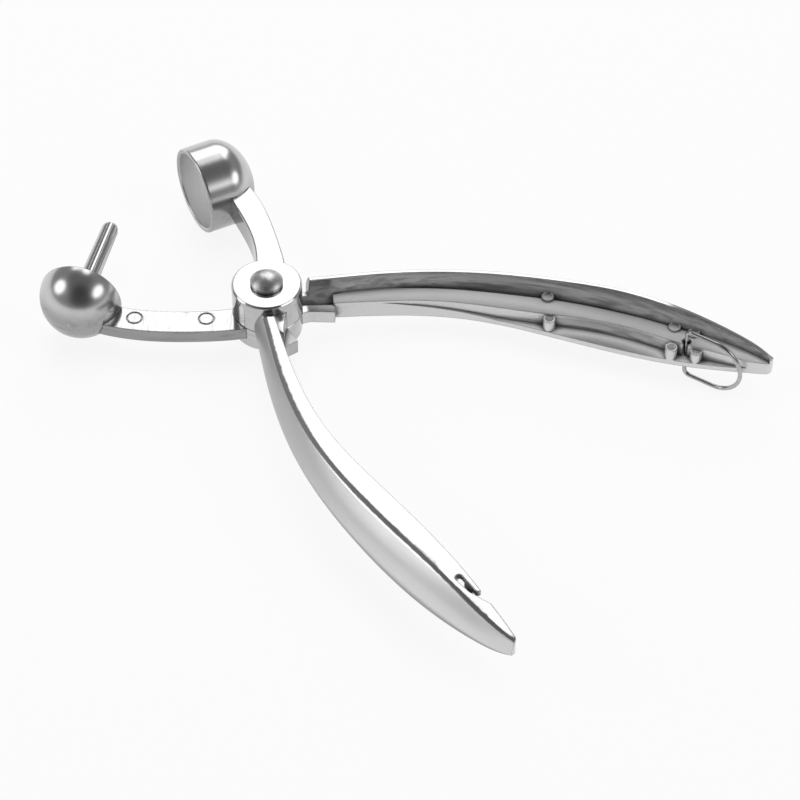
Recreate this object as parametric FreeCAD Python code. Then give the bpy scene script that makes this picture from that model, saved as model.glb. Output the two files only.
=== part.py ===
import FreeCAD, Part

import math
import os

from FreeCAD import Vector

# Olive pitter of the crossed-lever kind: chrome-plated die castings turning on one rivet.
#
# Millimetres.  The origin is on the rivet's axis at the hub's bottom face, +Z runs up the rivet,
# +X runs between the two handles and +Y is the side of the handle that carries the locking bail.
# The lower casting (rod lever) has the pitting rod, the upper casting (cup lever) has the cup.
# Squeezing the handles turns the cup lever about +Z until the rod reaches into the cup's pit hole.

# ---- hub and rivet
HUB_HEIGHT = 14.8
SPLIT_HEIGHT = 6.4              # where the upper hub sits on the lower one
SPLIT_GAP = 0.15
UPPER_HUB_RADIUS = 8.5
LOWER_HUB_RADIUS = 8.3
HUB_EDGE = 0.4                  # chamfer round the outer rims of both hubs
SEAM_EDGE = 0.25
HUB_CLEARANCE = 0.5             # kept round the other lever's hub
NECK_CLEARANCE = 2.3            # and by the handles' walls
SHANK_RADIUS = 2.0
SHANK_PLAY = 0.03
HEAD_RADIUS = 3.95
HEAD_WALL = 1.0
HEAD_DOME = 1.6
RECESS_RADIUS = 4.4
RECESS_DEPTH = 1.6
WASHER_RADIUS = 4.2
WASHER_THICKNESS = 0.6
PEENED_RADIUS = 3.2
PEENED_HEIGHT = 0.9
PEENED_TAPER = 0.7              # the peened end's outer face, as a part of its full radius

# ---- return spring in the hub
SPRING_WIRE = 1.0
SPRING_RADIUS = 5.2
SPRING_PITCH = 1.15
SPRING_TURNS = 5
POCKET_INNER = 3.5
POCKET_OUTER = 6.8
POCKET_BOTTOM = 3.0
POCKET_TOP = 12.3
LEG_HOLE_RADIUS = 0.65
LEG_LENGTH = 1.6
LEG_END_GAP = 0.2
COIL_GAP = 0.1                  # between the pocket's floor and the first coil

# ---- cup, holder and pitting rod, about the height of the hub's middle
MID_HEIGHT = HUB_HEIGHT / 2
CUP_MOUTH = (-38.9, 21.4)
CUP_DIRECTION = 62.0            # from the mouth into the cup, degrees in plan
CUP_RADIUS = 11.0
CUP_WALL = 1.3
CUP_STRAIGHT = 7.2
CUP_BOTTOM = 7.9
CUP_LIP = 0.5                   # half of the lip's rounded edge
PIT_HOLE_RADIUS = 4.4
HOLDER_CENTRE = (-38.5, -23.7)
HOLDER_RADIUS = 10.1
HOLDER_WALL = 1.5
ROD_DIRECTION = 112.0
ROD_REACH = 25.8                # from the holder's centre to the rod's tip
ROD_BASE_RADIUS = 2.5
ROD_TIP_RADIUS = 2.1
ROD_FLUTES = 4
FLUTE_RADIUS = 0.9
FLUTE_DEPTH = 0.4
BOSS_RADIUS = 4.2
BOSS_TOP = -4.2                 # the boss's face, along the rod from the holder's centre
BOSS_HEIGHT = 3.2
BOSS_FLARE = 1.2                # how much wider the boss is where it runs into the bowl
ROD_SEAT = 3.0                  # how deep the rod sits in the boss
FLUTE_START = 0.8               # from the boss's face
FLUTE_END = 0.6                 # from the rod's tip
FLUTE_TURN = 9.0                # the first flute's place round the rod, degrees

# ---- arms
CUP_ARM_LOW = 4.4
CUP_ARM_HIGH = 11.4
ROD_ARM_LOW = 2.5
ROD_ARM_HIGH = 6.25
ARM_EDGE = 0.5
ARM_LONG_EDGE = 30.0            # edges longer than this are the arms' sides
MARK_RADIUS = 2.0               # round ejector marks on the rod arm
MARK_DEPTH = 0.25
MARK_RING = 0.35
MARK_CENTRES = ((-24.3, -21.1), (-10.0, -11.3))

# ---- handles: the edge that faces the other handle, in plan, and the scoop's sections
INNER_EDGE = ((2.5, 2.7), (10.0, 8.9), (20.0, 17.0), (40.0, 29.3), (60.0, 36.2),
              (80.0, 42.5), (92.0, 46.9), (102.0, 50.9), (110.0, 54.6))
# station along the handle (its x), depth across, plate's depth below and rim's height above the
# middle of the hub's height, and the plate's flat part as a fraction of the depth
SECTIONS = ((4.0, 4.4, 5.8, 4.8, 0.30), (10.0, 4.8, 5.9, 4.8, 0.26), (20.0, 5.8, 6.0, 4.9, 0.26),
            (40.0, 8.0, 6.0, 5.3, 0.44), (60.0, 10.2, 6.3, 6.8, 0.47), (80.0, 9.9, 6.6, 7.5, 0.48),
            (92.0, 8.2, 6.2, 5.6, 0.47), (102.0, 5.6, 5.1, 3.0, 0.43), (107.5, 3.0, 4.6, 0.9, 0.36),
            (109.8, 1.2, 4.2, -0.8, 0.30))
# the section's other poles as fractions of the depth and of the plate's depth or the rim's height:
# bevel beside the flat, crease, convex wall that leans in at the rim
BEVEL_START = 0.06              # the bevel's first pole, from the end of the flat
BEVEL_POLES = ((0.60, -0.95), (0.64, -0.905), (0.645, -0.90), (0.75, -0.76), (1.0, -0.35))
WALL_POLES = ((1.03, 0.2), (0.93, 0.62), (0.74, 1.0))
SHELL = 1.5
CAVITY_END = (108.6, 2.4, 4.3, 0.2, 0.32)
CAVITY_START = (5.0, 4.5, 5.8, 4.8, 0.30)
NOSE_CENTRE = (107.9, 1.55)     # station and distance across of the tip's rounding
NOSE_RADIUS = 1.6
RIB_LEVEL = -1.0                # top of the middle rib, from the mid height
# station, near side and far side of the middle rib, across from the inner edge
RIB_ROUTE = ((12.0, -0.9, 3.0), (21.0, 0.0, 4.4), (28.0, 0.35, 4.6), (36.0, 0.5, 4.9),
             (45.0, 0.8, 5.6), (55.0, 1.9, 7.0), (63.0, 3.3, 7.9), (71.0, 4.1, 8.2),
             (79.0, 3.8, 8.0), (87.0, 2.5, 7.0), (95.0, 1.5, 6.1), (101.0, 0.6, 5.3),
             (105.0, -0.2, 4.2), (109.5, -0.8, 2.6))
# the plate rises beside the rib towards the hub: station and level, from the mid height
RISE_LOW = (48.0, -4.8)
RISE_HIGH = (16.0, -1.0)
RISE_WIDTH = 5.0
BOSS_PIN_RADIUS = 1.5
# station, distance across and top of the ejector pins' bosses beside the rib
BOSS_PINS = ((57.6, 1.6, -1.7), (55.5, 7.4, -0.3), (86.6, 1.3, -1.9), (86.2, 6.9, -0.5),
             (92.3, 1.5, -1.9), (90.8, 6.1, -0.5))

# ---- the pad on the rod lever's neck and the lug on the cup lever's that meets it when closed
PAD_LOW = -5.6
PAD_TOP = -2.0
PAD_OUTLINE = ((9.6, 6.5), (13.5, 9.1), (12.2, 11.2), (6.5, 7.0), (4.0, 4.0), (7.3, 4.0))
PAD_HOLLOW = (7.95, 5.15)       # the middle of the arc that runs from the hub into the pad
LUG_LOW = -4.5
LUG_TOP = -0.6
LUG_OUTLINE = ((8.0, -2.9), (12.7, -4.9), (11.8, -7.2), (11.6, -9.8), (6.0, -7.0))
BLEND_TOP = 4.6
BLEND_OUTLINE = ((11.6, -8.8), (9.0, -8.6), (4.0, -4.0), (7.6, -1.6))
BLEND_HOLLOW = (9.0, -4.8)

# ---- bail and its hole, and the catch that it hooks on
BAIL_WIRE = 1.1
BAIL_PIVOT = (88.6, 49.0)
BAIL_REST = 2.7                 # the bail's direction in plan, degrees
BAIL_SIDE = 14.3
BAIL_REACH = 14.8
BAIL_LOW = -4.4                 # height of the lower leg's centre line
BAIL_CORNER = 1.5
BAIL_HOLE_RADIUS = 1.1
# the slot behind the catch, as station and distance across from the inner edge
SLOT_ROOT = ((90.3, 3.1), (89.3, 2.2), (90.3, 1.3))
FINGER_TIP = ((94.6, 1.1), (95.3, 0.4), (95.0, -0.3))
SLOT_MOUTH = ((95.0, -2.0), (99.8, -2.0), (99.8, -0.4), (94.4, 2.4))
SLOT_TOP = 2.5                  # the slot is cut from the plate's outer side up to here, from the mid height

OUT = "parts"


# ---------------------------------------------------------------- helpers

def at(x, y, z=0.0):
    return Vector(x, y, z)


def disc(radius, low, high, x=0.0, y=0.0):
    return Part.makeCylinder(radius, high - low, at(x, y, low))


def ring(outer, inner, low, high):
    return disc(outer, low, high).cut(disc(inner, low, high))


def spline(points):
    curve = Part.BSplineCurve()
    curve.interpolate([at(*p) for p in points])
    return curve


def polyline(points):
    return [Part.LineSegment(at(*a), at(*b)).toShape() for a, b in zip(points, points[1:])]


def prism(edges, low, high):
    """A plan outline given as edges, as a solid between two heights."""
    face = Part.Face(Part.Wire(Part.__sortEdges__(edges)))
    face.translate(at(0, 0, low))
    return face.extrude(at(0, 0, high - low))


def slab(points, low, high):
    return prism(polyline(list(points) + [points[0]]), low, high)


def strip(side_a, side_b, low, high):
    """A solid between two plan curves, closed by straight ends."""
    curve_a = spline(side_a)
    curve_b = spline(side_b)
    ends = polyline((side_a[0], side_b[0])) + polyline((side_a[-1], side_b[-1]))
    return prism([curve_a.toShape(), curve_b.toShape()] + ends, low, high)


def one_solid(shape):
    """The shape with its seams merged; the castings must come out as single solids."""
    clean = shape.removeSplitter()
    solids = clean.Solids
    if len(solids) != 1:
        solids = sorted(solids, key=lambda s: -s.Volume)
        print("note: kept the largest of", len(solids), "solids", [round(s.Volume, 3) for s in solids])
    return solids[0]


def along(place, direction, shape):
    """Turn a shape made about +Z, starting at the origin, to lie in the XY plane at the mid height."""
    shape = shape.copy()
    shape.rotate(at(0, 0), Vector(0, 1, 0), 90)
    shape.rotate(at(0, 0), Vector(0, 0, 1), direction)
    shape.translate(at(place[0], place[1], MID_HEIGHT))
    return shape


def revolved(edges):
    """A profile in the XZ plane (x = radius, z = along), turned about Z."""
    face = Part.Face(Part.Wire(Part.__sortEdges__(edges)))
    return face.revolve(at(0, 0), Vector(0, 0, 1), 360)


def rounded(shape, radius, wanted):
    """Fillet the edges for which wanted(edge) is true."""
    edges = [e for e in shape.Edges if wanted(e)]
    return shape.makeFillet(radius, edges)


def flat_at(edge, height):
    box = edge.BoundBox
    return abs(box.ZMin - height) < 1e-4 and abs(box.ZMax - height) < 1e-4


# ---------------------------------------------------------------- hubs, rivet and spring

def hub_disc(radius, low, high, low_edge, high_edge):
    body = disc(radius, low, high)
    body = body.makeChamfer(high_edge, [e for e in body.Edges if flat_at(e, high)])
    return body.makeChamfer(low_edge, [e for e in body.Edges if flat_at(e, low)])


def spring_pocket():
    return ring(POCKET_OUTER, POCKET_INNER, POCKET_BOTTOM, POCKET_TOP)


def rod_lever_hub():
    high = SPLIT_HEIGHT - SPLIT_GAP
    body = hub_disc(LOWER_HUB_RADIUS, 0, high, HUB_EDGE, SEAM_EDGE)
    body = body.cut(disc(SHANK_RADIUS, 0, high))
    body = body.cut(disc(RECESS_RADIUS, 0, RECESS_DEPTH))
    body = body.cut(spring_pocket())
    leg = disc(LEG_HOLE_RADIUS, POCKET_BOTTOM - LEG_LENGTH, POCKET_BOTTOM, SPRING_RADIUS, 0)
    return one_solid(body.cut(leg))


def cup_lever_hub():
    body = hub_disc(UPPER_HUB_RADIUS, SPLIT_HEIGHT, HUB_HEIGHT, SEAM_EDGE, HUB_EDGE)
    body = body.cut(disc(SHANK_RADIUS + SHANK_PLAY, SPLIT_HEIGHT, HUB_HEIGHT))
    body = body.cut(spring_pocket())
    leg = disc(LEG_HOLE_RADIUS, POCKET_TOP, POCKET_TOP + LEG_LENGTH, SPRING_RADIUS, 0)
    return one_solid(body.cut(leg))


def pivot_rivet():
    head_base = HUB_HEIGHT + SHANK_PLAY
    wall_top = head_base + HEAD_WALL
    crown_radius = (HEAD_RADIUS ** 2 + HEAD_DOME ** 2) / (2 * HEAD_DOME)
    crown = Part.makeSphere(crown_radius, at(0, 0, wall_top + HEAD_DOME - crown_radius))
    head = disc(HEAD_RADIUS, head_base, wall_top + HEAD_DOME).common(crown)
    body = disc(SHANK_RADIUS, RECESS_DEPTH, head_base).fuse(head)
    tail_top = RECESS_DEPTH - WASHER_THICKNESS
    tail_low = at(0, 0, tail_top - PEENED_HEIGHT)
    tail = Part.makeCone(PEENED_TAPER * PEENED_RADIUS, PEENED_RADIUS, PEENED_HEIGHT, tail_low)
    stub = disc(SHANK_RADIUS, tail_top, RECESS_DEPTH)
    return one_solid(body.fuse(stub).fuse(tail))


def rivet_washer():
    low = RECESS_DEPTH - WASHER_THICKNESS
    return one_solid(ring(WASHER_RADIUS, SHANK_RADIUS + SHANK_PLAY, low, RECESS_DEPTH))


def return_spring():
    """Torsion spring: close coils in the pocket and a straight leg in each hub."""
    coil_low = POCKET_BOTTOM + SPRING_WIRE / 2 + COIL_GAP
    coil_height = SPRING_PITCH * SPRING_TURNS
    helix = Part.makeLongHelix(SPRING_PITCH, coil_height, SPRING_RADIUS)
    helix.translate(at(0, 0, coil_low))
    start = at(SPRING_RADIUS, 0, coil_low)
    section = Part.Wire(Part.makeCircle(SPRING_WIRE / 2, start, Vector(0, 1, 0)))
    coils = Part.Wire(helix).makePipeShell([section], True, True)
    coil_high = coil_low + coil_height
    leg = LEG_LENGTH - LEG_END_GAP
    low_leg = disc(SPRING_WIRE / 2, POCKET_BOTTOM - leg, coil_low, SPRING_RADIUS, 0)
    high_leg = disc(SPRING_WIRE / 2, coil_high, POCKET_TOP + leg, SPRING_RADIUS, 0)
    low_ball = Part.makeSphere(SPRING_WIRE / 2, start)
    high_ball = Part.makeSphere(SPRING_WIRE / 2, at(SPRING_RADIUS, 0, coil_high))
    return one_solid(coils.fuse([low_leg, high_leg, low_ball, high_ball]))


# ---------------------------------------------------------------- cup, holder and rod

def cup_profile(inset):
    """Half of the cup's outline moved in by inset, from the mouth to the axis."""
    radius = CUP_RADIUS - inset
    bottom = CUP_BOTTOM - inset
    points = []
    for angle in (0, 22.5, 45, 67.5, 90):
        turn = math.radians(angle)
        points.append((radius * math.cos(turn), 0, CUP_STRAIGHT + bottom * math.sin(turn)))
    return radius, points


def cup_envelope():
    radius, points = cup_profile(0)
    side = polyline(((0, 0, 0), (radius, 0, 0), (radius, 0, CUP_STRAIGHT)))
    bottom = spline(points).toShape()
    axis = polyline((points[-1], (0, 0, 0)))
    return along(CUP_MOUTH, CUP_DIRECTION, revolved(side + [bottom] + axis))


def olive_cup():
    inner, points = cup_profile(CUP_WALL)
    side = polyline(((0, 0, -1), (inner, 0, -1), (inner, 0, CUP_STRAIGHT)))
    hollow = revolved(side + [spline(points).toShape()] + polyline((points[-1], (0, 0, -1))))
    hollow = along(CUP_MOUTH, CUP_DIRECTION, hollow)
    depth = CUP_STRAIGHT + CUP_BOTTOM
    pit_hole = along(CUP_MOUTH, CUP_DIRECTION, disc(PIT_HOLE_RADIUS, depth / 2, depth + 1))
    cup = cup_envelope().cut(hollow).cut(pit_hole)
    mouth = [e for e in cup.Edges if lip_edge(e)]
    return one_solid(cup.makeFillet(CUP_LIP, mouth))


def lip_edge(edge):
    """True for the two circles of the cup's mouth."""
    axis = Vector(math.cos(math.radians(CUP_DIRECTION)), math.sin(math.radians(CUP_DIRECTION)), 0)
    mouth = at(CUP_MOUTH[0], CUP_MOUTH[1], MID_HEIGHT)
    return all(abs((v.Point - mouth).dot(axis)) < 1e-4 for v in edge.Vertexes) and edge.Length > CUP_RADIUS


def holder_envelope():
    return Part.makeSphere(HOLDER_RADIUS, at(HOLDER_CENTRE[0], HOLDER_CENTRE[1], MID_HEIGHT))


def olive_holder():
    """Half a sphere, open towards the cup, with a boss that takes the rod."""
    inner = HOLDER_RADIUS - HOLDER_WALL
    outer = Part.makeSphere(HOLDER_RADIUS)
    bowl = outer.cut(Part.makeSphere(inner))
    bowl = bowl.cut(disc(HOLDER_RADIUS + 1, 0, HOLDER_RADIUS + 1))
    boss_low = BOSS_TOP - BOSS_HEIGHT
    boss = Part.makeCone(BOSS_RADIUS + BOSS_FLARE, BOSS_RADIUS, BOSS_HEIGHT, at(0, 0, boss_low))
    pillar = disc(BOSS_RADIUS + BOSS_FLARE, -HOLDER_RADIUS, boss_low)
    boss = boss.fuse(pillar).common(Part.makeSphere(HOLDER_RADIUS - HOLDER_WALL / 2))
    bowl = bowl.fuse(boss)
    bowl = bowl.cut(rod_blank())
    return one_solid(along(HOLDER_CENTRE, ROD_DIRECTION, bowl))


def rod_blank():
    """The tapered rod without its flutes, from its seat in the holder to its round tip."""
    seat = BOSS_TOP - ROD_SEAT
    reach = ROD_REACH
    tip = ROD_TIP_RADIUS
    base = ROD_BASE_RADIUS
    profile = polyline(((0, 0, seat), (base, 0, seat), (base, 0, BOSS_TOP),
                        (tip, 0, reach - tip)))
    turn = math.radians(45)
    dome = Part.Arc(at(tip, 0, reach - tip),
                    at(tip * math.cos(turn), 0, reach - tip + tip * math.sin(turn)),
                    at(0, 0, reach)).toShape()
    return revolved(profile + [dome] + polyline(((0, 0, reach), (0, 0, seat))))


def pitting_rod():
    """The rod with its flutes, which follow the taper and run out through the round tip."""
    rod = rod_blank()
    centre = ROD_BASE_RADIUS + FLUTE_RADIUS - FLUTE_DEPTH
    lean = math.degrees(math.atan2(ROD_BASE_RADIUS - ROD_TIP_RADIUS, ROD_REACH - BOSS_TOP))
    length = ROD_REACH - BOSS_TOP - FLUTE_END - FLUTE_START
    for number in range(ROD_FLUTES):
        flute = disc(FLUTE_RADIUS, 0, length).fuse(Part.makeSphere(FLUTE_RADIUS, at(0, 0, length)))
        flute.rotate(at(0, 0), Vector(0, 1, 0), -lean)
        flute.translate(at(centre, 0, BOSS_TOP + FLUTE_START))
        flute.rotate(at(0, 0), Vector(0, 0, 1), FLUTE_TURN + 360.0 / ROD_FLUTES * number)
        rod = rod.cut(flute)
    return one_solid(along(HOLDER_CENTRE, ROD_DIRECTION, rod))


# ---------------------------------------------------------------- arms

def cup_lever_arm():
    inner = ((-33.3, 25.3), (-26.9, 21.1), (-18.8, 16.3), (-12.4, 11.3), (-7.9, 6.0), (-5.0, 2.0))
    outer = ((-32.2, 29.8), (-26.0, 27.7), (-18.9, 24.0), (-9.0, 16.5), (-2.9, 11.1), (1.5, 6.0))
    arm = strip(inner, outer, CUP_ARM_LOW, CUP_ARM_HIGH)
    arm = rounded(arm, ARM_EDGE, lambda e: e.Length > ARM_LONG_EDGE)
    arm = arm.cut(disc(UPPER_HUB_RADIUS, SPLIT_HEIGHT, HUB_HEIGHT))
    arm = arm.cut(disc(LOWER_HUB_RADIUS + HUB_CLEARANCE, 0, SPLIT_HEIGHT))
    return one_solid(arm.cut(cup_envelope()))


def rod_lever_arm():
    inner = ((-34.1, -20.3), (-28.6, -19.8), (-24.0, -17.7), (-12.7, -10.2), (-7.5, -5.6), (-4.5, -2.5))
    outer = ((-33.7, -28.5), (-27.5, -26.8), (-19.7, -23.2), (-8.5, -15.7), (-2.8, -11.0), (2.0, -6.0))
    arm = strip(inner, outer, ROD_ARM_LOW, ROD_ARM_HIGH)
    arm = rounded(arm, ARM_EDGE, lambda e: e.Length > ARM_LONG_EDGE and flat_at(e, ROD_ARM_LOW))
    for x, y in MARK_CENTRES:
        groove = disc(MARK_RADIUS, ROD_ARM_HIGH - MARK_DEPTH, ROD_ARM_HIGH, x, y)
        groove = groove.cut(disc(MARK_RADIUS - MARK_RING, ROD_ARM_HIGH - MARK_DEPTH, ROD_ARM_HIGH, x, y))
        arm = arm.cut(groove)
    arm = arm.cut(disc(LOWER_HUB_RADIUS, 0, SPLIT_HEIGHT))
    return one_solid(arm.cut(holder_envelope()))


# ---------------------------------------------------------------- handles

EDGE_CURVE = spline(INNER_EDGE)
HALVINGS = 40


def on_edge(x):
    """The inner edge's point at x and the direction across the handle, away from the other one."""
    low = EDGE_CURVE.FirstParameter
    high = EDGE_CURVE.LastParameter
    for _ in range(HALVINGS):
        middle = (low + high) / 2
        if EDGE_CURVE.value(middle).x < x:
            low = middle
        else:
            high = middle
    tangent = EDGE_CURVE.tangent(middle)[0]
    return EDGE_CURVE.value(middle), Vector(-tangent.y, tangent.x, 0)


def across(x, offset):
    """A plan point, offset from the inner edge."""
    point, normal = on_edge(x)
    place = point + normal * offset
    return place.x, place.y


def section(x, depth, plate, rim, flat, closing):
    """The wall's curve from the inner edge round to the rim, closed by straight lines."""
    point, normal = on_edge(x)
    flat_poles = tuple((s, -1.0) for s in (0.0, flat / 2, flat, flat + BEVEL_START))

    def place(s, z):
        return point + normal * s + at(0, 0, MID_HEIGHT + z)

    poles = [place(s * depth, z * plate) for s, z in flat_poles + BEVEL_POLES]
    poles += [place(s * depth, z * rim) for s, z in WALL_POLES]
    curve = Part.BSplineCurve()
    curve.buildFromPoles(poles, False, 3)
    corners = [poles[-1]] + [place(s, z) for s, z in closing] + [poles[0]]
    lines = [Part.LineSegment(a, b).toShape() for a, b in zip(corners, corners[1:])]
    return Part.Wire([curve.toShape()] + lines)


def scoop_outside():
    wires = [section(*row, [(0, row[3])]) for row in SECTIONS]
    return Part.makeLoft(wires, True, False, False).cut(beyond_nose())


def beyond_nose():
    """What lies outside the tip's rounding, seen in plan."""
    centre = across(*NOSE_CENTRE)
    _, normal = on_edge(NOSE_CENTRE[0])
    block = Part.makeBox(HUB_HEIGHT, HUB_HEIGHT, HUB_HEIGHT, at(0, -HUB_HEIGHT / 2))
    block.rotate(at(0, 0), Vector(0, 0, 1), math.degrees(math.atan2(-normal.x, normal.y)))
    block.translate(at(*centre))
    return block.cut(disc(NOSE_RADIUS, 0, HUB_HEIGHT, *centre))


def scoop_inside():
    """The hollow, running out past the open side."""
    wires = []
    for x, depth, plate, rim, flat in (CAVITY_START,) + SECTIONS[1:-2] + (CAVITY_END,):
        inner = depth - SHELL
        floor = plate - SHELL
        closing = [(WALL_POLES[-1][0] * inner, rim + 2), (-4, rim + 2), (-4, -floor)]
        wires.append(section(x, inner, floor, rim, flat, closing))
    return Part.makeLoft(wires, True, False, False)


def rib():
    near = [across(x, s) for x, s, _ in RIB_ROUTE]
    far = [across(x, s) for x, _, s in RIB_ROUTE]
    return strip(near, far, 0, MID_HEIGHT + RIB_LEVEL)


def rise():
    """The plate's rise beside the rib, where the trough runs out towards the hub."""
    low, _ = on_edge(RISE_LOW[0])
    high, _ = on_edge(RISE_HIGH[0])
    along_edge = (low - high).normalize()
    aside = Vector(-along_edge.y, along_edge.x, 0)
    start = high - aside * RISE_WIDTH
    end = low - aside * RISE_WIDTH
    corners = [start, start + at(0, 0, MID_HEIGHT + RISE_HIGH[1]),
               end + at(0, 0, MID_HEIGHT + RISE_LOW[1]), end, start]
    return Part.Face(Part.makePolygon(corners)).extrude(aside * (2 * RISE_WIDTH))


def scoop():
    """The open handle shell with its middle rib and pin bosses, open side up."""
    hollow = scoop_inside().cut(rib()).cut(rise())
    for x, s, top in BOSS_PINS:
        hollow = hollow.cut(disc(BOSS_PIN_RADIUS, 0, MID_HEIGHT + top, *across(x, s)))
    return scoop_outside().cut(hollow)


def hollowed_outline(outline, hollow, low, high):
    """A plan outline whose last point runs to its first along an arc through hollow."""
    arc = Part.Arc(at(*outline[-1]), at(*hollow), at(*outline[0])).toShape()
    return prism(polyline(outline) + [arc], MID_HEIGHT + low, MID_HEIGHT + high)


def rod_lever_handle():
    split = SPLIT_HEIGHT - SPLIT_GAP
    body = scoop().fuse(hollowed_outline(PAD_OUTLINE, PAD_HOLLOW, PAD_LOW, PAD_TOP))
    body = body.cut(disc(LOWER_HUB_RADIUS, 0, split))
    body = body.cut(disc(UPPER_HUB_RADIUS + NECK_CLEARANCE, split, HUB_HEIGHT))
    body = body.cut(disc(BAIL_HOLE_RADIUS, -2, MID_HEIGHT, BAIL_PIVOT[0], BAIL_PIVOT[1]))
    return one_solid(body)


def catch_slot():
    """The slot in the plate that leaves a finger pointing to the handle's tip."""
    root = [at(*across(x, s)) for x, s in SLOT_ROOT]
    tip = [at(*across(x, s)) for x, s in FINGER_TIP]
    mouth = [across(x, s) for x, s in SLOT_MOUTH]
    edges = [Part.Arc(*root).toShape(), Part.LineSegment(root[2], tip[0]).toShape(),
             Part.Arc(*tip).toShape(), Part.LineSegment(tip[2], at(*mouth[0])).toShape()]
    edges += polyline(mouth) + [Part.LineSegment(at(*mouth[-1]), root[0]).toShape()]
    return prism(edges, -1, MID_HEIGHT - SLOT_TOP)


def cup_lever_handle():
    body = scoop().cut(catch_slot())
    body.rotate(at(0, 0, MID_HEIGHT), Vector(1, 0, 0), 180)
    body = body.cut(disc(LOWER_HUB_RADIUS + NECK_CLEARANCE, 0, SPLIT_HEIGHT))
    blend = hollowed_outline(BLEND_OUTLINE, BLEND_HOLLOW, SPLIT_HEIGHT - MID_HEIGHT, BLEND_TOP)
    lug = slab(LUG_OUTLINE, MID_HEIGHT + LUG_LOW, MID_HEIGHT + LUG_TOP)
    lug = lug.cut(disc(LOWER_HUB_RADIUS + HUB_CLEARANCE, 0, SPLIT_HEIGHT))
    body = body.fuse(blend).fuse(lug)
    return one_solid(body.cut(disc(UPPER_HUB_RADIUS, SPLIT_HEIGHT, HUB_HEIGHT)))


# ---------------------------------------------------------------- bail

def locking_bail():
    """A closed loop of wire: a straight side through the plate and a round end."""
    half = BAIL_SIDE / 2
    corner = BAIL_CORNER
    reach = BAIL_REACH
    straight = reach - half
    points = {
        "low": Vector(0, 0, corner), "high": Vector(0, 0, BAIL_SIDE - corner),
        "top": Vector(corner, 0, BAIL_SIDE), "bottom": Vector(corner, 0, 0),
        "top_end": Vector(straight, 0, BAIL_SIDE), "bottom_end": Vector(straight, 0, 0),
        "apex": Vector(reach, 0, half),
    }
    lag = corner * (1 - math.sqrt(0.5))
    edges = [
        Part.LineSegment(points["low"], points["high"]).toShape(),
        Part.Arc(points["high"], Vector(lag, 0, BAIL_SIDE - lag), points["top"]).toShape(),
        Part.LineSegment(points["top"], points["top_end"]).toShape(),
        Part.Arc(points["top_end"], points["apex"], points["bottom_end"]).toShape(),
        Part.LineSegment(points["bottom_end"], points["bottom"]).toShape(),
        Part.Arc(points["bottom"], Vector(lag, 0, lag), points["low"]).toShape(),
    ]
    path = Part.Wire(edges)
    section = Part.Wire(Part.makeCircle(BAIL_WIRE / 2, Vector(0, 0, half), Vector(0, 0, 1)))
    loop = path.makePipeShell([section], True, False)
    loop.rotate(at(0, 0), Vector(0, 0, 1), BAIL_REST)
    loop.translate(at(BAIL_PIVOT[0], BAIL_PIVOT[1], BAIL_LOW))
    return loop


NODES = {
    "rod_lever_hub": rod_lever_hub,
    "rod_lever_arm": rod_lever_arm,
    "olive_holder": olive_holder,
    "pitting_rod": pitting_rod,
    "rod_lever_handle": rod_lever_handle,
    "locking_bail": locking_bail,
    "cup_lever_hub": cup_lever_hub,
    "cup_lever_arm": cup_lever_arm,
    "olive_cup": olive_cup,
    "cup_lever_handle": cup_lever_handle,
    "pivot_rivet": pivot_rivet,
    "rivet_washer": rivet_washer,
    "return_spring": return_spring,
}

if __name__ == "__main__":
    os.makedirs(OUT, exist_ok=True)
    for name, make in NODES.items():
        shape = make()
        shape.exportStep(os.path.join(OUT, name + ".step"))
        print(name, shape.ShapeType, "valid", shape.isValid(), "volume", round(shape.Volume, 1))
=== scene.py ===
"""Looks of a crossed-lever olive pitter: plated castings, fluted rod, wire parts and its studio.

Metres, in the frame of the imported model: the origin on the rivet's axis at the hub's bottom face,
+Z up the rivet, +X between the handles, +Y the side of the handle with the bail.
"""

import math

import bpy
from bpy.props import FloatProperty, FloatVectorProperty, PointerProperty
from mathutils import Matrix, Vector


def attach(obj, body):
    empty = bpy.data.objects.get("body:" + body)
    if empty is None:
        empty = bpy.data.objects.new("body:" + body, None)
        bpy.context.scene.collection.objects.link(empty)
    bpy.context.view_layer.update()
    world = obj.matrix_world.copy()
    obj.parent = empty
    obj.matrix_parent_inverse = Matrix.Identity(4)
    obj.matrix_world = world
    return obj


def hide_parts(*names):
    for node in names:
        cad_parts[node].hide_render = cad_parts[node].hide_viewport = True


bl_info = {
    "name": "Olive pitter finish",
    "version": (1, 0, 0),
    "blender": (4, 5, 0),
    "location": "3D View > Sidebar > Pitter",
    "description": "Plating, wire parts, rims and studio of a crossed-lever olive pitter",
    "category": "Object",
}

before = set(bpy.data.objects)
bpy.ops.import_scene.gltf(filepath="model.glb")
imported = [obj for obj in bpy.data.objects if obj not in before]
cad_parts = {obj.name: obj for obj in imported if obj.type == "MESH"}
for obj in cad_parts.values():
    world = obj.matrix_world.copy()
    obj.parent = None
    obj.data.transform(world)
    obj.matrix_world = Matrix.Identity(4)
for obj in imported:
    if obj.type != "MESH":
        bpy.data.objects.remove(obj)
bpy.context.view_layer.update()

MM = 0.001
MID_HEIGHT = 7.4 * MM               # middle of the hub's height, about which the handles match
ROD_ARM_TURN = math.radians(32)     # the rod arm's length in plan, from +X
HANDLE_TURN = math.radians(24)      # the rod lever's handle; the other turns the other way
HANDLE_SPAN = (15 * MM, 85 * MM)    # from close to the hub to close to the tip, along X, over which the painted shade on the handles' walls fades

# the bail's hole in the handle, seen from above, and the loop's direction at rest
BAIL_PLACE = (88.6 * MM, 49.0 * MM)
BAIL_TURN = math.radians(2.7)
BAIL_STEPS = 24                     # points between two knots of the bail's curve
WIRE_SIDES = 24
ROUND_HANDLE = 0.5523               # Bezier handle of a quarter circle, as a part of its radius

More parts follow.
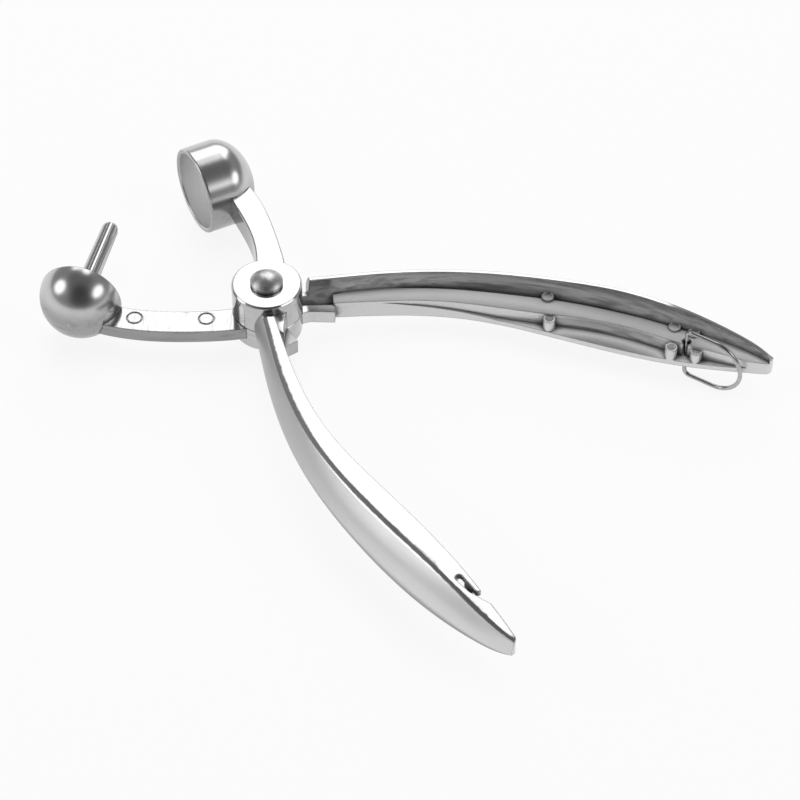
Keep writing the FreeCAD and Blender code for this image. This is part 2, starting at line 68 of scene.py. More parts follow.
# ejector pins' bosses beside the handle's rib: x, y and the height of their tops, in mm
BOSS_TOPS = (
    (57.14, 37.02, 5.70), (53.36, 41.94, 7.10), (86.15, 46.09, 5.50),
    (83.81, 51.19, 6.90), (91.76, 48.42, 5.50), (88.63, 52.14, 6.90),
)
RIM_TONE = (0.95, 0.95, 0.95)
RIM_STEPS = 40
BEAD_SIDES = 10

# the camera: turn and rise of its line of sight, distance and the offset in its own picture
CAMERA_TURN = 0.6163297
CAMERA_RISE = 0.8199308
CAMERA_OFFSET = (31.995 * MM, -22.895 * MM, 807.48 * MM)
SENSOR_WIDTH = 36.0
NEAR_CLIP = 0.01

FLOOR_HEIGHT = -5.0 * MM
FLOOR_REACH = 3.0
FLOOR_CORNERS = 64
FLOOR_WHITE = 0.88                  # how much of the floor's look is its own plain white
FLOOR_PATCHES = (3.0, 2.0)
FLOOR_PATCH_SHADE = 0.985
FLOOR_ROUGHNESS = 0.9
BACKDROP_HEIGHT = 0.5
DRAPE_PLACE = (-50.0, 42.0)         # azimuth and elevation of the dark drape
DRAPE_INNER = 12.0
DRAPE_OUTER = 45.0
DRAPE_SHADE = 0.75
OVERHEAD = (0.70, 0.95)             # height of a direction from which the ceiling is dim
OVERHEAD_SHADE = 0.45

# name, azimuth, elevation, distance, width, height, shape and the stage's setting for brightness
SOFTBOXES = (
    ("back_softbox", 124, 37, 1.2, 0.85, 0.74, "RECTANGLE", "key"),
    ("upper_softbox", 106, 58, 1.2, 0.36, 0.32, "ELLIPSE", "key"),
    ("left_softbox", -142, 35, 0.9, 0.50, 0.50, "ELLIPSE", "side"),
    ("right_softbox", 16, 37, 0.9, 0.66, 0.38, "ELLIPSE", "side"),
    ("top_softbox", 124, 82, 1.0, 0.80, 0.80, "ELLIPSE", "top"),
)
LAMP_AREA = {"RECTANGLE": 1.0, "ELLIPSE": 0.785}    # as a part of width times height


# ---------------------------------------------------------------- node helpers

SHADE_SAMPLES = 8
EDGE_SAMPLES = 6


class Value:
    """One output socket in a node tree. Arithmetic on it adds Math nodes."""

    def __init__(self, recipe, socket):
        self.recipe = recipe
        self.socket = socket

    def output(self, name):
        """Another output of the same node."""
        return Value(self.recipe, self.socket.node.outputs[name])

    def _math(self, operation, first, second):
        return self.recipe.node("ShaderNodeMath", {"operation": operation}, {0: first, 1: second})

    def __add__(self, other):
        return self._math("ADD", self, other)

    def __radd__(self, other):
        return self._math("ADD", other, self)

    def __sub__(self, other):
        return self._math("SUBTRACT", self, other)

    def __rsub__(self, other):
        return self._math("SUBTRACT", other, self)

    def __mul__(self, other):
        return self._math("MULTIPLY", self, other)

    def __rmul__(self, other):
        return self._math("MULTIPLY", other, self)

    def ramp(self, low, high, start=0.0, end=1.0):
        """Start below low, end above high, and a smooth change between."""
        return self.recipe.node(
            "ShaderNodeMapRange", {"interpolation_type": "SMOOTHSTEP"},
            {0: self, 1: low, 2: high, 3: start, 4: end})

    def part(self, axis):
        """One of the X, Y and Z of a vector."""
        return self.recipe.node("ShaderNodeSeparateXYZ", {}, {0: self}, axis)

    def agreement(self, other):
        """The dot product of two directions."""
        return self.recipe.node(
            "ShaderNodeVectorMath", {"operation": "DOT_PRODUCT"}, {0: self, 1: other}, "Value")


class Recipe:
    """Adds nodes to one node tree."""

    def __init__(self, tree):
        self.tree = tree

    def node(self, kind, settings, inputs, output=0):
        """Adds a node, with its settings first, and gives one of its outputs."""
        made = self.tree.nodes.new(kind)
        for name, setting in settings.items():
            setattr(made, name, setting)
        self.feed(made, inputs)
        return Value(self, made.outputs[output])

    def feed(self, made, inputs):
        """Links or sets a node's inputs."""
        for name, value in inputs.items():
            if isinstance(value, Value):
                self.tree.links.new(value.socket, made.inputs[name])
            else:
                made.inputs[name].default_value = value

    def place(self):
        """Where a point is, in metres."""
        return self.node("ShaderNodeTexCoord", {}, {}, "Object")

    def noise(self, place, scale, detail, roughness=0.5):
        return self.node(
            "ShaderNodeTexNoise", {},
            {"Vector": place, "Scale": scale, "Detail": detail, "Roughness": roughness})

    def streaks(self, place, scales, detail, roughness=0.5):
        """Noise with a grain of its own in each direction."""
        stretched = self.node("ShaderNodeMapping", {}, {"Vector": place, "Scale": scales})
        return self.noise(stretched, 1.0, detail, roughness)

    def mix(self, factor, first, second):
        """A colour between two colours."""
        return self.node(
            "ShaderNodeMix", {"data_type": "RGBA"}, {0: factor, 6: first, 7: second}, 2)

    def open_share(self, reach, alone=True):
        """1 on open faces, falling towards 0 deep in corners, of the piece alone or of all."""
        return self.node(
            "ShaderNodeAmbientOcclusion", {"only_local": alone, "samples": SHADE_SAMPLES},
            {"Distance": reach}, "AO")

    def soft_edges(self, radius):
        """The normal with the sharp edges taken off."""
        return self.node("ShaderNodeBevel", {"samples": EDGE_SAMPLES}, {"Radius": radius})

    def bump(self, height, strength, depth, normal=None):
        """The normal with a pattern's relief on it."""
        inputs = {"Strength": strength, "Distance": depth, "Height": height}
        if normal is not None:
            inputs["Normal"] = normal
        return self.node("ShaderNodeBump", {}, inputs)


def new_material(name):
    """A material with an empty recipe and its shader; returns material, recipe and shader node."""
    material = bpy.data.materials.new(name)
    material.use_nodes = True
    tree = material.node_tree
    tree.nodes.clear()
    shader = tree.nodes.new("ShaderNodeBsdfPrincipled")
    output = tree.nodes.new("ShaderNodeOutputMaterial")
    tree.links.new(shader.outputs[0], output.inputs[0])
    return material, Recipe(tree), shader


def grey(level):
    return (level, level, level, 1.0)


def shaded(tone, factor=1.0):
    """A colour setting, darker or lighter by a factor, as a socket takes it."""
    return tuple(min(1.0, part * factor) for part in tone) + (1.0,)


# ---------------------------------------------------------------- settings

class PitterFinish(bpy.types.PropertyGroup):
    """Colours and roughness of the finishes."""

    plating: FloatProperty(
        name="Plating", description="Brightness of the chrome plating", default=0.60, min=0, max=1,
        subtype="FACTOR")
    # painted shade: the colour that the castings' creases and edges go to
    crease_shade: FloatProperty(
        name="Creases", description="Brightness of the plating deep in corners", default=0.10,
        min=0, max=1, subtype="FACTOR")
    bowls: FloatProperty(
        name="Bowl roughness", description="Roughness of the cup and the holder", default=0.21,
        min=0, max=1, subtype="FACTOR")
    inside: FloatProperty(
        name="Inside", description="Brightness inside the handles and the cup", default=0.97,
        min=0, max=1, subtype="FACTOR")
    cast: FloatProperty(
        name="Inside roughness", description="Roughness inside the handles and the cup",
        default=0.42, min=0, max=1, subtype="FACTOR")
    wall: FloatProperty(
        name="Wall", description="Brightness of the handles' satin walls", default=0.82, min=0,
        max=1, subtype="FACTOR")
    satin: FloatProperty(
        name="Satin roughness", description="Roughness of the handles' outer walls", default=0.36,
        min=0, max=1, subtype="FACTOR")
    polish: FloatProperty(
        name="Polished roughness", description="Roughness of the flat plated faces", default=0.09,
        min=0, max=1, subtype="FACTOR")
    rivet: FloatVectorProperty(
        name="Rivet", description="Colour of the rivet and its washer",
        default=(0.62, 0.62, 0.62), min=0, max=1, size=3, subtype="COLOR")
    wire: FloatVectorProperty(
        name="Wire", description="Colour of the bail's wire", default=(0.48, 0.48, 0.48),
        min=0, max=1, size=3, subtype="COLOR")
    spring: FloatVectorProperty(
        name="Spring", description="Colour of the spring's wire", default=(0.40, 0.39, 0.38),
        min=0, max=1, size=3, subtype="COLOR")


class PitterSizes(bpy.types.PropertyGroup):
    """Sizes of the pieces that are made here."""

    bail_wire: FloatProperty(
        name="Bail wire", description="Thickness of the bail's wire", default=1.1 * MM,
        unit="LENGTH")
    bail_side: FloatProperty(
        name="Bail side", description="Height of the bail between its legs' middles",
        default=14.3 * MM, unit="LENGTH")
    bail_reach: FloatProperty(
        name="Bail reach", description="From the bail's straight side to its round end",
        default=14.8 * MM, unit="LENGTH")
    bail_low: FloatProperty(
        name="Bail height", description="Height of the lower leg's middle", default=-4.4 * MM,
        unit="LENGTH")
    bail_corner: FloatProperty(
        name="Bail corners", description="Bend radius of the bail's corners", default=1.5 * MM,
        unit="LENGTH")
    rim_radius: FloatProperty(
        name="Boss rim radius", description="Radius of the raised rim on an ejector pin's boss",
        default=1.25 * MM, unit="LENGTH")
    rim_bead: FloatProperty(
        name="Boss rim bead", description="Thickness of that rim", default=0.36 * MM,
        unit="LENGTH")


class PitterStage(bpy.types.PropertyGroup):
    """Studio settings."""

    lens: FloatProperty(
        name="Lens", description="Focal length of the camera", default=150.5, unit="CAMERA")
    key: FloatProperty(
        name="Back softboxes", description="Brightness of the two softboxes behind", default=1.75,
        min=0)
    side: FloatProperty(
        name="Side softboxes", description="Brightness of each softbox at the sides", default=1.9,
        min=0)
    top: FloatProperty(
        name="Top softbox", description="Brightness of the overhead softbox, for dull faces only",
        default=2.6, min=0)
    fill: FloatProperty(
        name="Fill", description="Brightness of the studio's walls", default=0.28, min=0)
    floor: FloatVectorProperty(
        name="Floor", description="Colour of the floor", default=(0.93, 0.93, 0.93), min=0, max=1,
        size=3, subtype="COLOR")


SETTINGS = {"pitter_finish": PitterFinish, "pitter_sizes": PitterSizes, "pitter_stage": PitterStage}


# ---------------------------------------------------------------- finishes
#
# A pattern is given by its cells per metre, for all directions or for each, its detail and, where
# it isn't 0.5, its roughness; a relief by its strength and depth; a step by its two ends.

def coat(recipe, shader, colour, roughness, normal, metallic=1.0):
    """Feeds what varies over a metal piece to its shader."""
    recipe.feed(shader, {"Base Color": colour, "Metallic": metallic, "Roughness": roughness,
                         "Normal": normal})


CLOUDS = (140.0, 4.0)
SMEARS = ((50.0, 900.0, 700.0), 4.0)
STROKES = ((1400.0, 90.0, 90.0), 3.0, 0.7)
PEEL = (700.0, 3.0)
PEEL_RELIEF = (0.08, 0.03 * MM)
CAST_EDGE = 0.45 * MM               # how wide the edges are rounded

# steps by how far up a face points, which is the z of its normal
FLAT = (0.80, 0.95)                 # level faces
SIDE_TOP = (0.05, 0.5)              # steep sides, which get painted shade, end here
WALL_TOP = (0.78, 0.86)             # outer walls of a handle end here
UNDERCUT = (-0.36, 0.02)            # where a wall turns under, and how bright its painted shade leaves it there
UNDERCUT_SHADE = 0.25

# steps by how open a face is within a reach, from 0 deep in a corner to 1 in the open; within the
# corner reach, faces get painted shade
CORNER_REACH = 2.2 * MM
BOWL_REACH = 16.0 * MM
TROUGH_REACH = 9.0 * MM
OPEN_FACE = (0.35, 0.92)
OPEN_WALL = (0.80, 0.97)
OPEN_HOLLOW = (0.60, 0.94)

# how strongly the patterns show, and the step that each goes through
CLOUD_DEPTH, CLOUD_STEP = 0.06, (0.3, 0.7)
SMEAR_DEPTH, SMEAR_STEP = 0.15, (0.45, 0.8)
STROKE_DEPTH, STROKE_STEP = 0.32, (0.42, 0.72)
TROUGH_SMEAR_DEPTH, TROUGH_SMEAR_STEP = 0.42, (0.40, 0.68)
TROUGH_SHADE = 0.25                 # painted shade: how much darker a trough's sides are, smears apart

# how much rougher clouds and corners are, and how much less metallic walls and hollows are
CLOUD_ROUGHNESS, CORNER_ROUGHNESS = 0.05, 0.12
WALL_DULLING, BOWL_DULLING, TROUGH_DULLING = 0.5, 0.5, 0.85

# painted shade along edges and in creases: the step of the rounded normal's agreement with the true
# one, how much of its own look an edge keeps, and how many times paler the painted crease shade of
# a brushed part is
ROUND_EDGE = (0.78, 0.97)
PLAIN_EDGE, BRUSHED_EDGE = 0.25, 0.65
BRUSHED_CREASE_SHADE = 3.0


def outer_wall(finish, place, up, exposure, hub_shade_share):
    """The mask of a handle's outer walls, and their brightness, with painted shade that darkens
    them towards the hub and where they turn under.
    """
    wall = (1.0 - up.ramp(*WALL_TOP)) * exposure.ramp(*OPEN_WALL)
    satin = finish.wall * place.part("X").ramp(*HANDLE_SPAN, hub_shade_share, 1.0)
    return wall, satin * up.ramp(*UNDERCUT, UNDERCUT_SHADE, 1.0)


def cast_plating(name, finish, polish, steep_shade, shelter=None, run=0.0, hub_shade_share=None,
                 brushed=False):
    """Chrome over a die casting: bright flats, painted shade on steep sides and in creases, painted
    dark lines along soft edges.

    Steep shade is how much painted shade darkens the steep sides. Shelter is the reach within which
    a face counts as inside a hollow, which is pale and dull. Run is the turn of the part's length
    in plan.
    A handle also has satin walls, painted shade on its trough's sides and where its walls turn
    under, and smears along its hollow; hub shade share is the painted shade on those walls at the
    hub, given as their brightness there as a part of their brightness at the tip. A brushed part
    has strokes across its flat face.
    """
    material, recipe, shader = new_material(name)
    place = recipe.place()
    along = recipe.node("ShaderNodeMapping", {}, {"Vector": place, "Rotation": (0.0, 0.0, -run)})
    normal = recipe.node("ShaderNodeNewGeometry", {}, {}, "Normal")
    up = normal.part("Z")
    flat = up.ramp(*FLAT)
    clouds = recipe.noise(place, *CLOUDS)
    smears = recipe.streaks(along, *SMEARS)
    soft = recipe.soft_edges(CAST_EDGE)
    open_face = recipe.open_share(CORNER_REACH).ramp(*OPEN_FACE)

    # the plating as it is on any part
    level = finish.plating * ((1.0 - CLOUD_DEPTH) + CLOUD_DEPTH * clouds.ramp(*CLOUD_STEP))
    # painted shade: steep sides darker than flats, with streaky smears on them
    steep = 1.0 - up.ramp(*SIDE_TOP)
    level = level * (1.0 - steep * (steep_shade + SMEAR_DEPTH * smears.ramp(*SMEAR_STEP)))
    rough = polish + CLOUD_ROUGHNESS * clouds + CORNER_ROUGHNESS * (1.0 - open_face)
    metallic = 1.0

    # a handle's outer walls, with painted shade near the hub and where they turn under, and then
    # the hollows
    if shelter is not None:
        exposure = recipe.open_share(shelter)
        inside = finish.inside
        dulling = BOWL_DULLING
        if hub_shade_share is not None:
            wall, satin = outer_wall(finish, place, up, exposure, hub_shade_share)
            level = level + wall * (satin - level)
            rough = rough + wall * (finish.satin - polish)
            metallic = 1.0 - WALL_DULLING * wall
            # painted shade on the trough's sides, with smears on them
            trough_shade_and_smears = TROUGH_SHADE + TROUGH_SMEAR_DEPTH * smears.ramp(*TROUGH_SMEAR_STEP)
            inside = inside * (1.0 - (1.0 - flat) * trough_shade_and_smears)
            dulling = TROUGH_DULLING
        sheltered = 1.0 - exposure.ramp(*OPEN_HOLLOW)
        level = level + sheltered * (inside - level)
        rough = rough + sheltered * (finish.cast - rough)
        metallic = metallic * (1.0 - dulling * sheltered)

    if brushed:
        strokes = recipe.streaks(along, *STROKES)
        level = level * (1.0 - STROKE_DEPTH * strokes.ramp(*STROKE_STEP) * flat)

    # painted shade in creases, and a painted dark line along the rounded edges
    edge = BRUSHED_EDGE if brushed else PLAIN_EDGE
    plain = open_face * (edge + (1.0 - edge) * soft.agreement(normal).ramp(*ROUND_EDGE))
    crease_shade = grey(finish.crease_shade * (BRUSHED_CREASE_SHADE if brushed else 1.0))
    colour = recipe.mix(plain, crease_shade, recipe.mix(level, grey(0.0), grey(1.0)))
    bumped = recipe.bump(recipe.noise(place, *PEEL), *PEEL_RELIEF, soft)
    coat(recipe, shader, colour, rough, bumped, metallic)
    return material


TURNING_LINES = ((600.0, 3200.0, 600.0), 3.0)
LINE_RELIEF = (0.15, 0.03 * MM)
LINE_LEVEL, LINE_DEPTH = 0.86, 0.10
TURNED_ROUGHNESS, LINE_ROUGHNESS = 0.12, 0.10
TURNED_EDGE = 0.12 * MM
FLUTE_REACH = 1.2 * MM
OPEN_FLUTE = (0.3, 0.9)
FLUTE_SHADE = 0.05


def turned_plating(name, finish):
    """Chrome over a turned and fluted rod, with fine lines round it and painted shade deep in its
    flutes.
    """
    material, recipe, shader = new_material(name)
    lines = recipe.streaks(recipe.place(), *TURNING_LINES)
    # painted shade deep in the flutes
    open_face = recipe.open_share(FLUTE_REACH).ramp(*OPEN_FLUTE)
    colour = recipe.mix(open_face * (LINE_LEVEL + LINE_DEPTH * lines), grey(FLUTE_SHADE),
                        grey(finish.plating))
    bumped = recipe.bump(lines, *LINE_RELIEF, recipe.soft_edges(TURNED_EDGE))
    coat(recipe, shader, colour, TURNED_ROUGHNESS + LINE_ROUGHNESS * lines, bumped)
    return material


MOTTLE = (520.0, 5.0, 0.6)
MOTTLE_STEP = (0.3, 0.7)
MOTTLE_DARK, MOTTLE_LIGHT = 0.72, 1.15
MOTTLE_ROUGHNESS = 0.12
SPECKS = (2600.0, 2.0)
SPECK_RELIEF = (0.2, 0.05 * MM)
STEEL_EDGE = 0.15 * MM
SEAT_REACH = 0.8 * MM
OPEN_SEAT = (0.55, 0.85)
SEAT_SHADE = 0.02


def dull_steel(name, tone, roughness):
    """Zinc-dull steel, slightly mottled, with painted shade where it meets another piece."""
    material, recipe, shader = new_material(name)
    place = recipe.place()
    mottle = recipe.noise(place, *MOTTLE)
    specks = recipe.noise(place, *SPECKS)
    # painted shade where the piece sits against another
    seated = recipe.open_share(SEAT_REACH, alone=False).ramp(*OPEN_SEAT)
    mottled = recipe.mix(
        mottle.ramp(*MOTTLE_STEP), shaded(tone, MOTTLE_DARK), shaded(tone, MOTTLE_LIGHT))
    colour = recipe.mix(seated, grey(SEAT_SHADE), mottled)
    bumped = recipe.bump(specks + mottle, *SPECK_RELIEF, recipe.soft_edges(STEEL_EDGE))
    coat(recipe, shader, colour, roughness + MOTTLE_ROUGHNESS * mottle, bumped)
    return material


DRAWING_MARKS = (1500.0, 4.0, 0.6)
MARK_STEP = (0.35, 0.65)
MARK_DARK = 0.8
MARK_RELIEF = (0.1, 0.02 * MM)
MARK_ROUGHNESS = 0.08


def drawn_wire(name, tone, roughness, metallic=1.0):
    """Bright metal with faint drawing marks."""
    material, recipe, shader = new_material(name)
    marks = recipe.noise(recipe.place(), *DRAWING_MARKS)
    colour = recipe.mix(marks.ramp(*MARK_STEP), shaded(tone, MARK_DARK), shaded(tone))
    bumped = recipe.bump(marks, *MARK_RELIEF)
    coat(recipe, shader, colour, roughness + MARK_ROUGHNESS * marks, bumped, metallic)
    return material


def dress(node, material):
    """Gives a CAD node its material."""
    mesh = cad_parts[node].data
    mesh.materials.clear()
    mesh.materials.append(material)


# ---------------------------------------------------------------- Geometry Nodes

def geometry_tree(name, inputs):
    """A tree that takes a geometry, the named numbers and a material.

    Returns the tree, its recipe and its group's inputs.
    """
    tree = bpy.data.node_groups.new(name, "GeometryNodeTree")
    tree.interface.new_socket("Geometry", in_out="INPUT", socket_type="NodeSocketGeometry")
    tree.interface.new_socket("Geometry", in_out="OUTPUT", socket_type="NodeSocketGeometry")
    for label in inputs:
        tree.interface.new_socket(label, in_out="INPUT", socket_type="NodeSocketFloat")
    tree.interface.new_socket("Material", in_out="INPUT", socket_type="NodeSocketMaterial")
    recipe = Recipe(tree)
    return tree, recipe, recipe.node("NodeGroupInput", {}, {})


def close_tree(recipe, geometry, material_input):
    """Realize Instances and Set Material, then the output."""
    smooth = recipe.node("GeometryNodeSetShadeSmooth", {}, {"Geometry": geometry})
    real = recipe.node("GeometryNodeRealizeInstances", {}, {"Geometry": smooth})
    coated = recipe.node(
        "GeometryNodeSetMaterial", {}, {"Geometry": real, "Material": material_input})
    output = recipe.tree.nodes.new("NodeGroupOutput")
    recipe.tree.links.new(coated.socket, output.inputs[0])


def ring(recipe, steps, radius):
    return recipe.node(
        "GeometryNodeCurvePrimitiveCircle", {}, {"Resolution": steps, "Radius": radius})


def wire_tree():
    """Sweeps a round wire along the object's curve."""
    tree, recipe, given = geometry_tree("Swept wire", ("Wire radius",))
    profile = ring(recipe, WIRE_SIDES, given.output("Wire radius"))
    tube = recipe.node("GeometryNodeCurveToMesh", {}, {"Curve": given, "Profile Curve": profile})
    close_tree(recipe, tube, given.output("Material"))
    return tree


def rim_tree():
    """A raised round bead on each point of the mesh."""
    tree, recipe, given = geometry_tree("Boss rims", ("Rim radius", "Bead radius"))
    circle = ring(recipe, RIM_STEPS, given.output("Rim radius"))
    bead = ring(recipe, BEAD_SIDES, given.output("Bead radius"))
    rim = recipe.node("GeometryNodeCurveToMesh", {}, {"Curve": circle, "Profile Curve": bead})
    placed = recipe.node("GeometryNodeInstanceOnPoints", {}, {"Points": given, "Instance": rim})
    close_tree(recipe, placed, given.output("Material"))
    return tree


def grown(name, data, tree, values):
    """A plain mesh object from a source datablock and a tree, with the tree's inputs by label."""
    source = bpy.data.objects.new(name + "_source", data)
    bpy.context.scene.collection.objects.link(source)
    modifier = source.modifiers.new("Nodes", "NODES")
    modifier.node_group = tree
    for item in tree.interface.items_tree:
        if item.in_out == "INPUT" and item.name in values:
            modifier[item.identifier] = values[item.name]
    graph = bpy.context.evaluated_depsgraph_get()
    mesh = bpy.data.meshes.new_from_object(source.evaluated_get(graph), depsgraph=graph)
    bpy.data.objects.remove(source)
    mesh.name = name
    piece = bpy.data.objects.new(name, mesh)
    bpy.context.scene.collection.objects.link(piece)
    return piece


# ---------------------------------------------------------------- sources of the grown pieces

def rim_points(name, flip):
    """The bosses' tops in one handle; flip is 1 for the rod lever and -1 for the other."""
    mesh = bpy.data.meshes.new(name)
    mesh.from_pydata(
        [(x * MM, flip * y * MM, MID_HEIGHT + flip * (z * MM - MID_HEIGHT))
         for x, y, z in BOSS_TOPS], [], [])
    return mesh


def bail_point(sizes, along, up):
    return (BAIL_PLACE[0] + along * math.cos(BAIL_TURN),
            BAIL_PLACE[1] + along * math.sin(BAIL_TURN), sizes.bail_low + up)


def bail_path(sizes):
    """The closed Bezier curve along the middle of the bail's wire."""
    side = sizes.bail_side
    half = side / 2
    corner = sizes.bail_corner
    straight = sizes.bail_reach - half
    bend = ROUND_HANDLE * corner
    sweep = ROUND_HANDLE * half
    # along and up from the lower corner, then the handles before and after
    knots = (
        ((0, corner), (0, corner - bend), (0, corner + bend)),
        ((0, side - corner), (0, side - corner - bend), (0, side - corner + bend)),
        ((corner, side), (corner - bend, side), (corner + bend, side)),
        ((straight, side), (straight - bend, side), (straight + sweep, side)),
        ((straight + half, half), (straight + half, half + sweep), (straight + half, half - sweep)),
        ((straight, 0), (straight + sweep, 0), (straight - bend, 0)),
        ((corner, 0), (corner + bend, 0), (corner - bend, 0)),
    )
    curve = bpy.data.curves.new("bail_path", "CURVE")
    curve.dimensions = "3D"
    curve.resolution_u = BAIL_STEPS
    spline = curve.splines.new("BEZIER")
    spline.bezier_points.add(len(knots) - 1)
    spline.use_cyclic_u = True
    for point, (middle, before, after) in zip(spline.bezier_points, knots):
        point.handle_left_type = point.handle_right_type = "FREE"
        point.co = bail_point(sizes, *middle)
        point.handle_left = bail_point(sizes, *before)
        point.handle_right = bail_point(sizes, *after)
    return curve


# ---------------------------------------------------------------- operators

class PITTER_OT_castings(bpy.types.Operator):
    """Plates both levers' castings"""

    bl_idname = "pitter.castings"
    bl_label = "Plated castings"

    def execute(self, context):
        finish = context.scene.pitter_finish
        polish = finish.polish
        # steep shade is how much painted shade darkens each casting's steep sides
        hub = cast_plating("bright_plating", finish, polish, steep_shade=0.15)
        arm = cast_plating("arm_plating", finish, polish, steep_shade=0.48)
        bowls = cast_plating(
            "bowl_plating", finish, finish.bowls, steep_shade=0.40, shelter=BOWL_REACH)
        brushed = cast_plating(
            "brushed_plating", finish, polish, steep_shade=0.48, run=ROD_ARM_TURN, brushed=True)
        # the last value is the painted shade on the handle's walls at the hub, as a part of their
        # brightness at the tip
        for side, turn, hub_shade_share in (("rod", HANDLE_TURN, 0.95), ("cup", -HANDLE_TURN, 0.62)):
            dress(side + "_lever_hub", hub)
            dress(side + "_lever_handle", cast_plating(
                side + "_handle_plating", finish, polish, steep_shade=0.12, shelter=TROUGH_REACH,
                run=turn, hub_shade_share=hub_shade_share))
        dress("cup_lever_arm", arm)
        dress("rod_lever_arm", brushed)
        dress("olive_holder", bowls)
        dress("olive_cup", bowls)
        return {"FINISHED"}


class PITTER_OT_boss_rims(bpy.types.Operator):
    """Adds the raised rims on the ejector pins' bosses inside both handles"""

    bl_idname = "pitter.boss_rims"
    bl_label = "Boss rims"

    def execute(self, context):
        sizes = context.scene.pitter_sizes
        plating = drawn_wire("rim_plating", RIM_TONE, roughness=0.30, metallic=0.25)
        tree = rim_tree()
        for body, flip in (("rod_lever", 1), ("cup_lever", -1)):
            name = body + "_boss_rims"
            rims = grown(name, rim_points(name + "_points", flip), tree, {
                "Rim radius": sizes.rim_radius, "Bead radius": sizes.rim_bead / 2,
                "Material": plating})
            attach(rims, body)
        return {"FINISHED"}


class PITTER_OT_rod(bpy.types.Operator):
    """Plates the fluted pitting rod"""

    bl_idname = "pitter.rod"
    bl_label = "Pitting rod"

    def execute(self, context):
        dress("pitting_rod", turned_plating("rod_plating", context.scene.pitter_finish))
        return {"FINISHED"}


class PITTER_OT_rivet(bpy.types.Operator):
    """Gives the rivet and its washer their dull steel"""

    bl_idname = "pitter.rivet"
    bl_label = "Rivet and washer"

    def execute(self, context):
        steel = dull_steel("rivet_steel", context.scene.pitter_finish.rivet, roughness=0.30)
        dress("pivot_rivet", steel)
        dress("rivet_washer", steel)
        return {"FINISHED"}


class PITTER_OT_spring(bpy.types.Operator):
    """Gives the return spring inside the hubs its wire steel"""

    bl_idname = "pitter.spring"
    bl_label = "Return spring"

    def execute(self, context):
        tone = context.scene.pitter_finish.spring
        dress("return_spring", drawn_wire("spring_steel", tone, roughness=0.35))
        return {"FINISHED"}


class PITTER_OT_bail(bpy.types.Operator):
    """Bends the locking bail from wire"""

    bl_idname = "pitter.bail"
    bl_label = "Locking bail"

    def execute(self, context):
        sizes = context.scene.pitter_sizes
        wire = drawn_wire("bail_wire", context.scene.pitter_finish.wire, roughness=0.14)
        dress("locking_bail", wire)
        bail = grown("bail_loop", bail_path(sizes), wire_tree(), {
            "Wire radius": sizes.bail_wire / 2, "Material": wire})
        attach(bail, "locking_bail")
        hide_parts("locking_bail")
        return {"FINISHED"}


class PITTER_OT_studio(bpy.types.Operator):
    """Sets the floor, the soft studio light and the camera"""

    bl_idname = "pitter.studio"
    bl_label = "Studio"

    def execute(self, context):
        stage = context.scene.pitter_stage
        make_floor(stage)
        make_world(context.scene, stage)
        make_lamps(stage)
        make_camera(context.scene, stage)
        return {"FINISHED"}


# ---------------------------------------------------------------- studio

def aimed(turn, rise):
    """The direction of an azimuth and elevation in radians."""
    return Vector((
        math.cos(turn) * math.cos(rise), math.sin(turn) * math.cos(rise), math.sin(rise)))


def floor_material(stage):
    """Matt and nearly white, and plain white where it is only seen."""
    material, recipe, shader = new_material("studio_floor")
    tone = stage.floor
    patches = recipe.noise(recipe.place(), *FLOOR_PATCHES)
    recipe.feed(shader, {
        "Base Color": recipe.mix(patches, shaded(tone, FLOOR_PATCH_SHADE), shaded(tone)),
        "Roughness": FLOOR_ROUGHNESS, "Specular IOR Level": 0.0})
    path = recipe.node("ShaderNodeLightPath", {}, {})
    seen = path.output("Is Camera Ray") + path.output("Is Glossy Ray")
    seen = seen + path.output("Is Transmission Ray")
    white = recipe.node("ShaderNodeEmission", {}, {"Color": grey(1.0), "Strength": 1.0})
    mixed = recipe.node("ShaderNodeMixShader", {}, {
        0: seen.ramp(0.0, 1.0, 0.0, FLOOR_WHITE), 1: Value(recipe, shader.outputs[0]), 2: white})
    output = next(n for n in material.node_tree.nodes if n.type == "OUTPUT_MATERIAL")
    material.node_tree.links.new(mixed.socket, output.inputs[0])
    return material


def make_floor(stage):
    """A pale floor with an upturned rim, which keeps the object's shadow."""
    mesh = bpy.data.meshes.new("studio_floor")
    turns = [2 * math.pi * i / FLOOR_CORNERS for i in range(FLOOR_CORNERS)]
    points = [(FLOOR_REACH * math.cos(turn), FLOOR_REACH * math.sin(turn), height)
              for height in (FLOOR_HEIGHT, FLOOR_HEIGHT + BACKDROP_HEIGHT) for turn in turns]
    faces = [tuple(range(FLOOR_CORNERS))]
    for first in range(FLOOR_CORNERS):
        second = (first + 1) % FLOOR_CORNERS
        faces.append((second, first, first + FLOOR_CORNERS, second + FLOOR_CORNERS))
    mesh.from_pydata(points, [], faces)
    mesh.materials.append(floor_material(stage))
    floor = bpy.data.objects.new("studio_floor", mesh)
    bpy.context.scene.collection.objects.link(floor)


def make_world(scene, stage):
    """Grey studio walls, dimmer overhead and with a dark drape behind the camera."""
    world = bpy.data.worlds.new("studio_world")
    world.use_nodes = True
    tree = world.node_tree
    tree.nodes.clear()
    recipe = Recipe(tree)
    direction = recipe.node("ShaderNodeTexCoord", {}, {}, "Generated")
    height = direction.part("Z")
    facing = direction.agreement(aimed(*map(math.radians, DRAPE_PLACE)))
    drape = facing.ramp(math.cos(math.radians(DRAPE_OUTER)), math.cos(math.radians(DRAPE_INNER)))
    level = stage.fill * (1.0 - OVERHEAD_SHADE * height.ramp(*OVERHEAD))
    level = level * (1.0 - DRAPE_SHADE * drape)
    glow = recipe.node("ShaderNodeBackground", {}, {
        "Color": recipe.mix(level, grey(0.0), grey(1.0)), "Strength": 1.0})
    output = tree.nodes.new("ShaderNodeOutputWorld")
    tree.links.new(glow.socket, output.inputs[0])
    scene.world = world


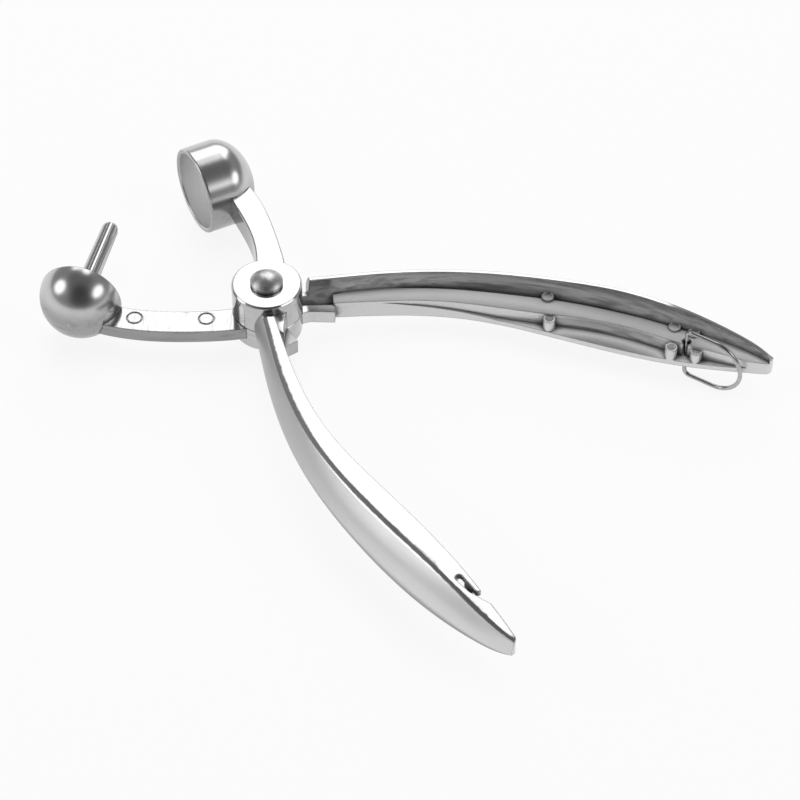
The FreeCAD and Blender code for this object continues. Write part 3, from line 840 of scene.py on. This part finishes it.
def make_lamps(stage):
    """Lamps facing the object; the power of each follows from its brightness and size."""
    for name, azimuth, elevation, distance, width, height, shape, setting in SOFTBOXES:
        lamp = bpy.data.lights.new(name, "AREA")
        lamp.shape = shape
        lamp.size = width
        lamp.size_y = height
        lamp.energy = getattr(stage, setting) * math.pi * width * height * LAMP_AREA[shape]
        box = bpy.data.objects.new(name, lamp)
        direction = aimed(math.radians(azimuth), math.radians(elevation))
        box.matrix_world = Matrix.Translation(direction * distance) @ (
            direction.to_track_quat("Z", "Y").to_matrix().to_4x4())
        box.visible_camera = False
        box.visible_glossy = setting != "top"
        bpy.context.scene.collection.objects.link(box)


def make_camera(scene, stage):
    back = aimed(CAMERA_TURN - math.pi / 2, CAMERA_RISE)
    right = Vector((math.cos(CAMERA_TURN), math.sin(CAMERA_TURN), 0))
    up = back.cross(right)
    basis = Matrix((right, up, back)).transposed()
    lens = bpy.data.cameras.new("camera")
    lens.lens = stage.lens
    lens.sensor_width = SENSOR_WIDTH
    lens.clip_start = NEAR_CLIP
    camera = bpy.data.objects.new("camera", lens)
    camera.matrix_world = Matrix.Translation(
        basis @ Vector(CAMERA_OFFSET) + Vector((0, 0, MID_HEIGHT))) @ basis.to_4x4()
    scene.collection.objects.link(camera)
    scene.camera = camera
    scene.view_settings.view_transform = "Standard"


# ---------------------------------------------------------------- panel and registration

OPERATORS = (
    PITTER_OT_castings, PITTER_OT_boss_rims, PITTER_OT_rod, PITTER_OT_rivet, PITTER_OT_spring,
    PITTER_OT_bail, PITTER_OT_studio,
)


class PITTER_PT_panel(bpy.types.Panel):
    """Lists the pitter's settings and pieces"""

    bl_idname = "PITTER_PT_panel"
    bl_label = "Olive pitter"
    bl_space_type = "VIEW_3D"
    bl_region_type = "UI"
    bl_category = "Pitter"

    def draw(self, context):
        layout = self.layout
        for name, group in SETTINGS.items():
            box = layout.box()
            for key in group.__annotations__:
                box.prop(getattr(context.scene, name), key)
        for operator in OPERATORS:
            layout.operator(operator.bl_idname)


CLASSES = tuple(SETTINGS.values()) + OPERATORS + (PITTER_PT_panel,)


def register():
    for made in CLASSES:
        bpy.utils.register_class(made)
    for name, group in SETTINGS.items():
        setattr(bpy.types.Scene, name, PointerProperty(type=group))


def unregister():
    for name in SETTINGS:
        delattr(bpy.types.Scene, name)
    for made in reversed(CLASSES):
        bpy.utils.unregister_class(made)


def main():
    register()
    for operator in OPERATORS:
        family, name = operator.bl_idname.split(".")
        getattr(getattr(bpy.ops, family), name)()


if __name__ == "__main__":
    main()
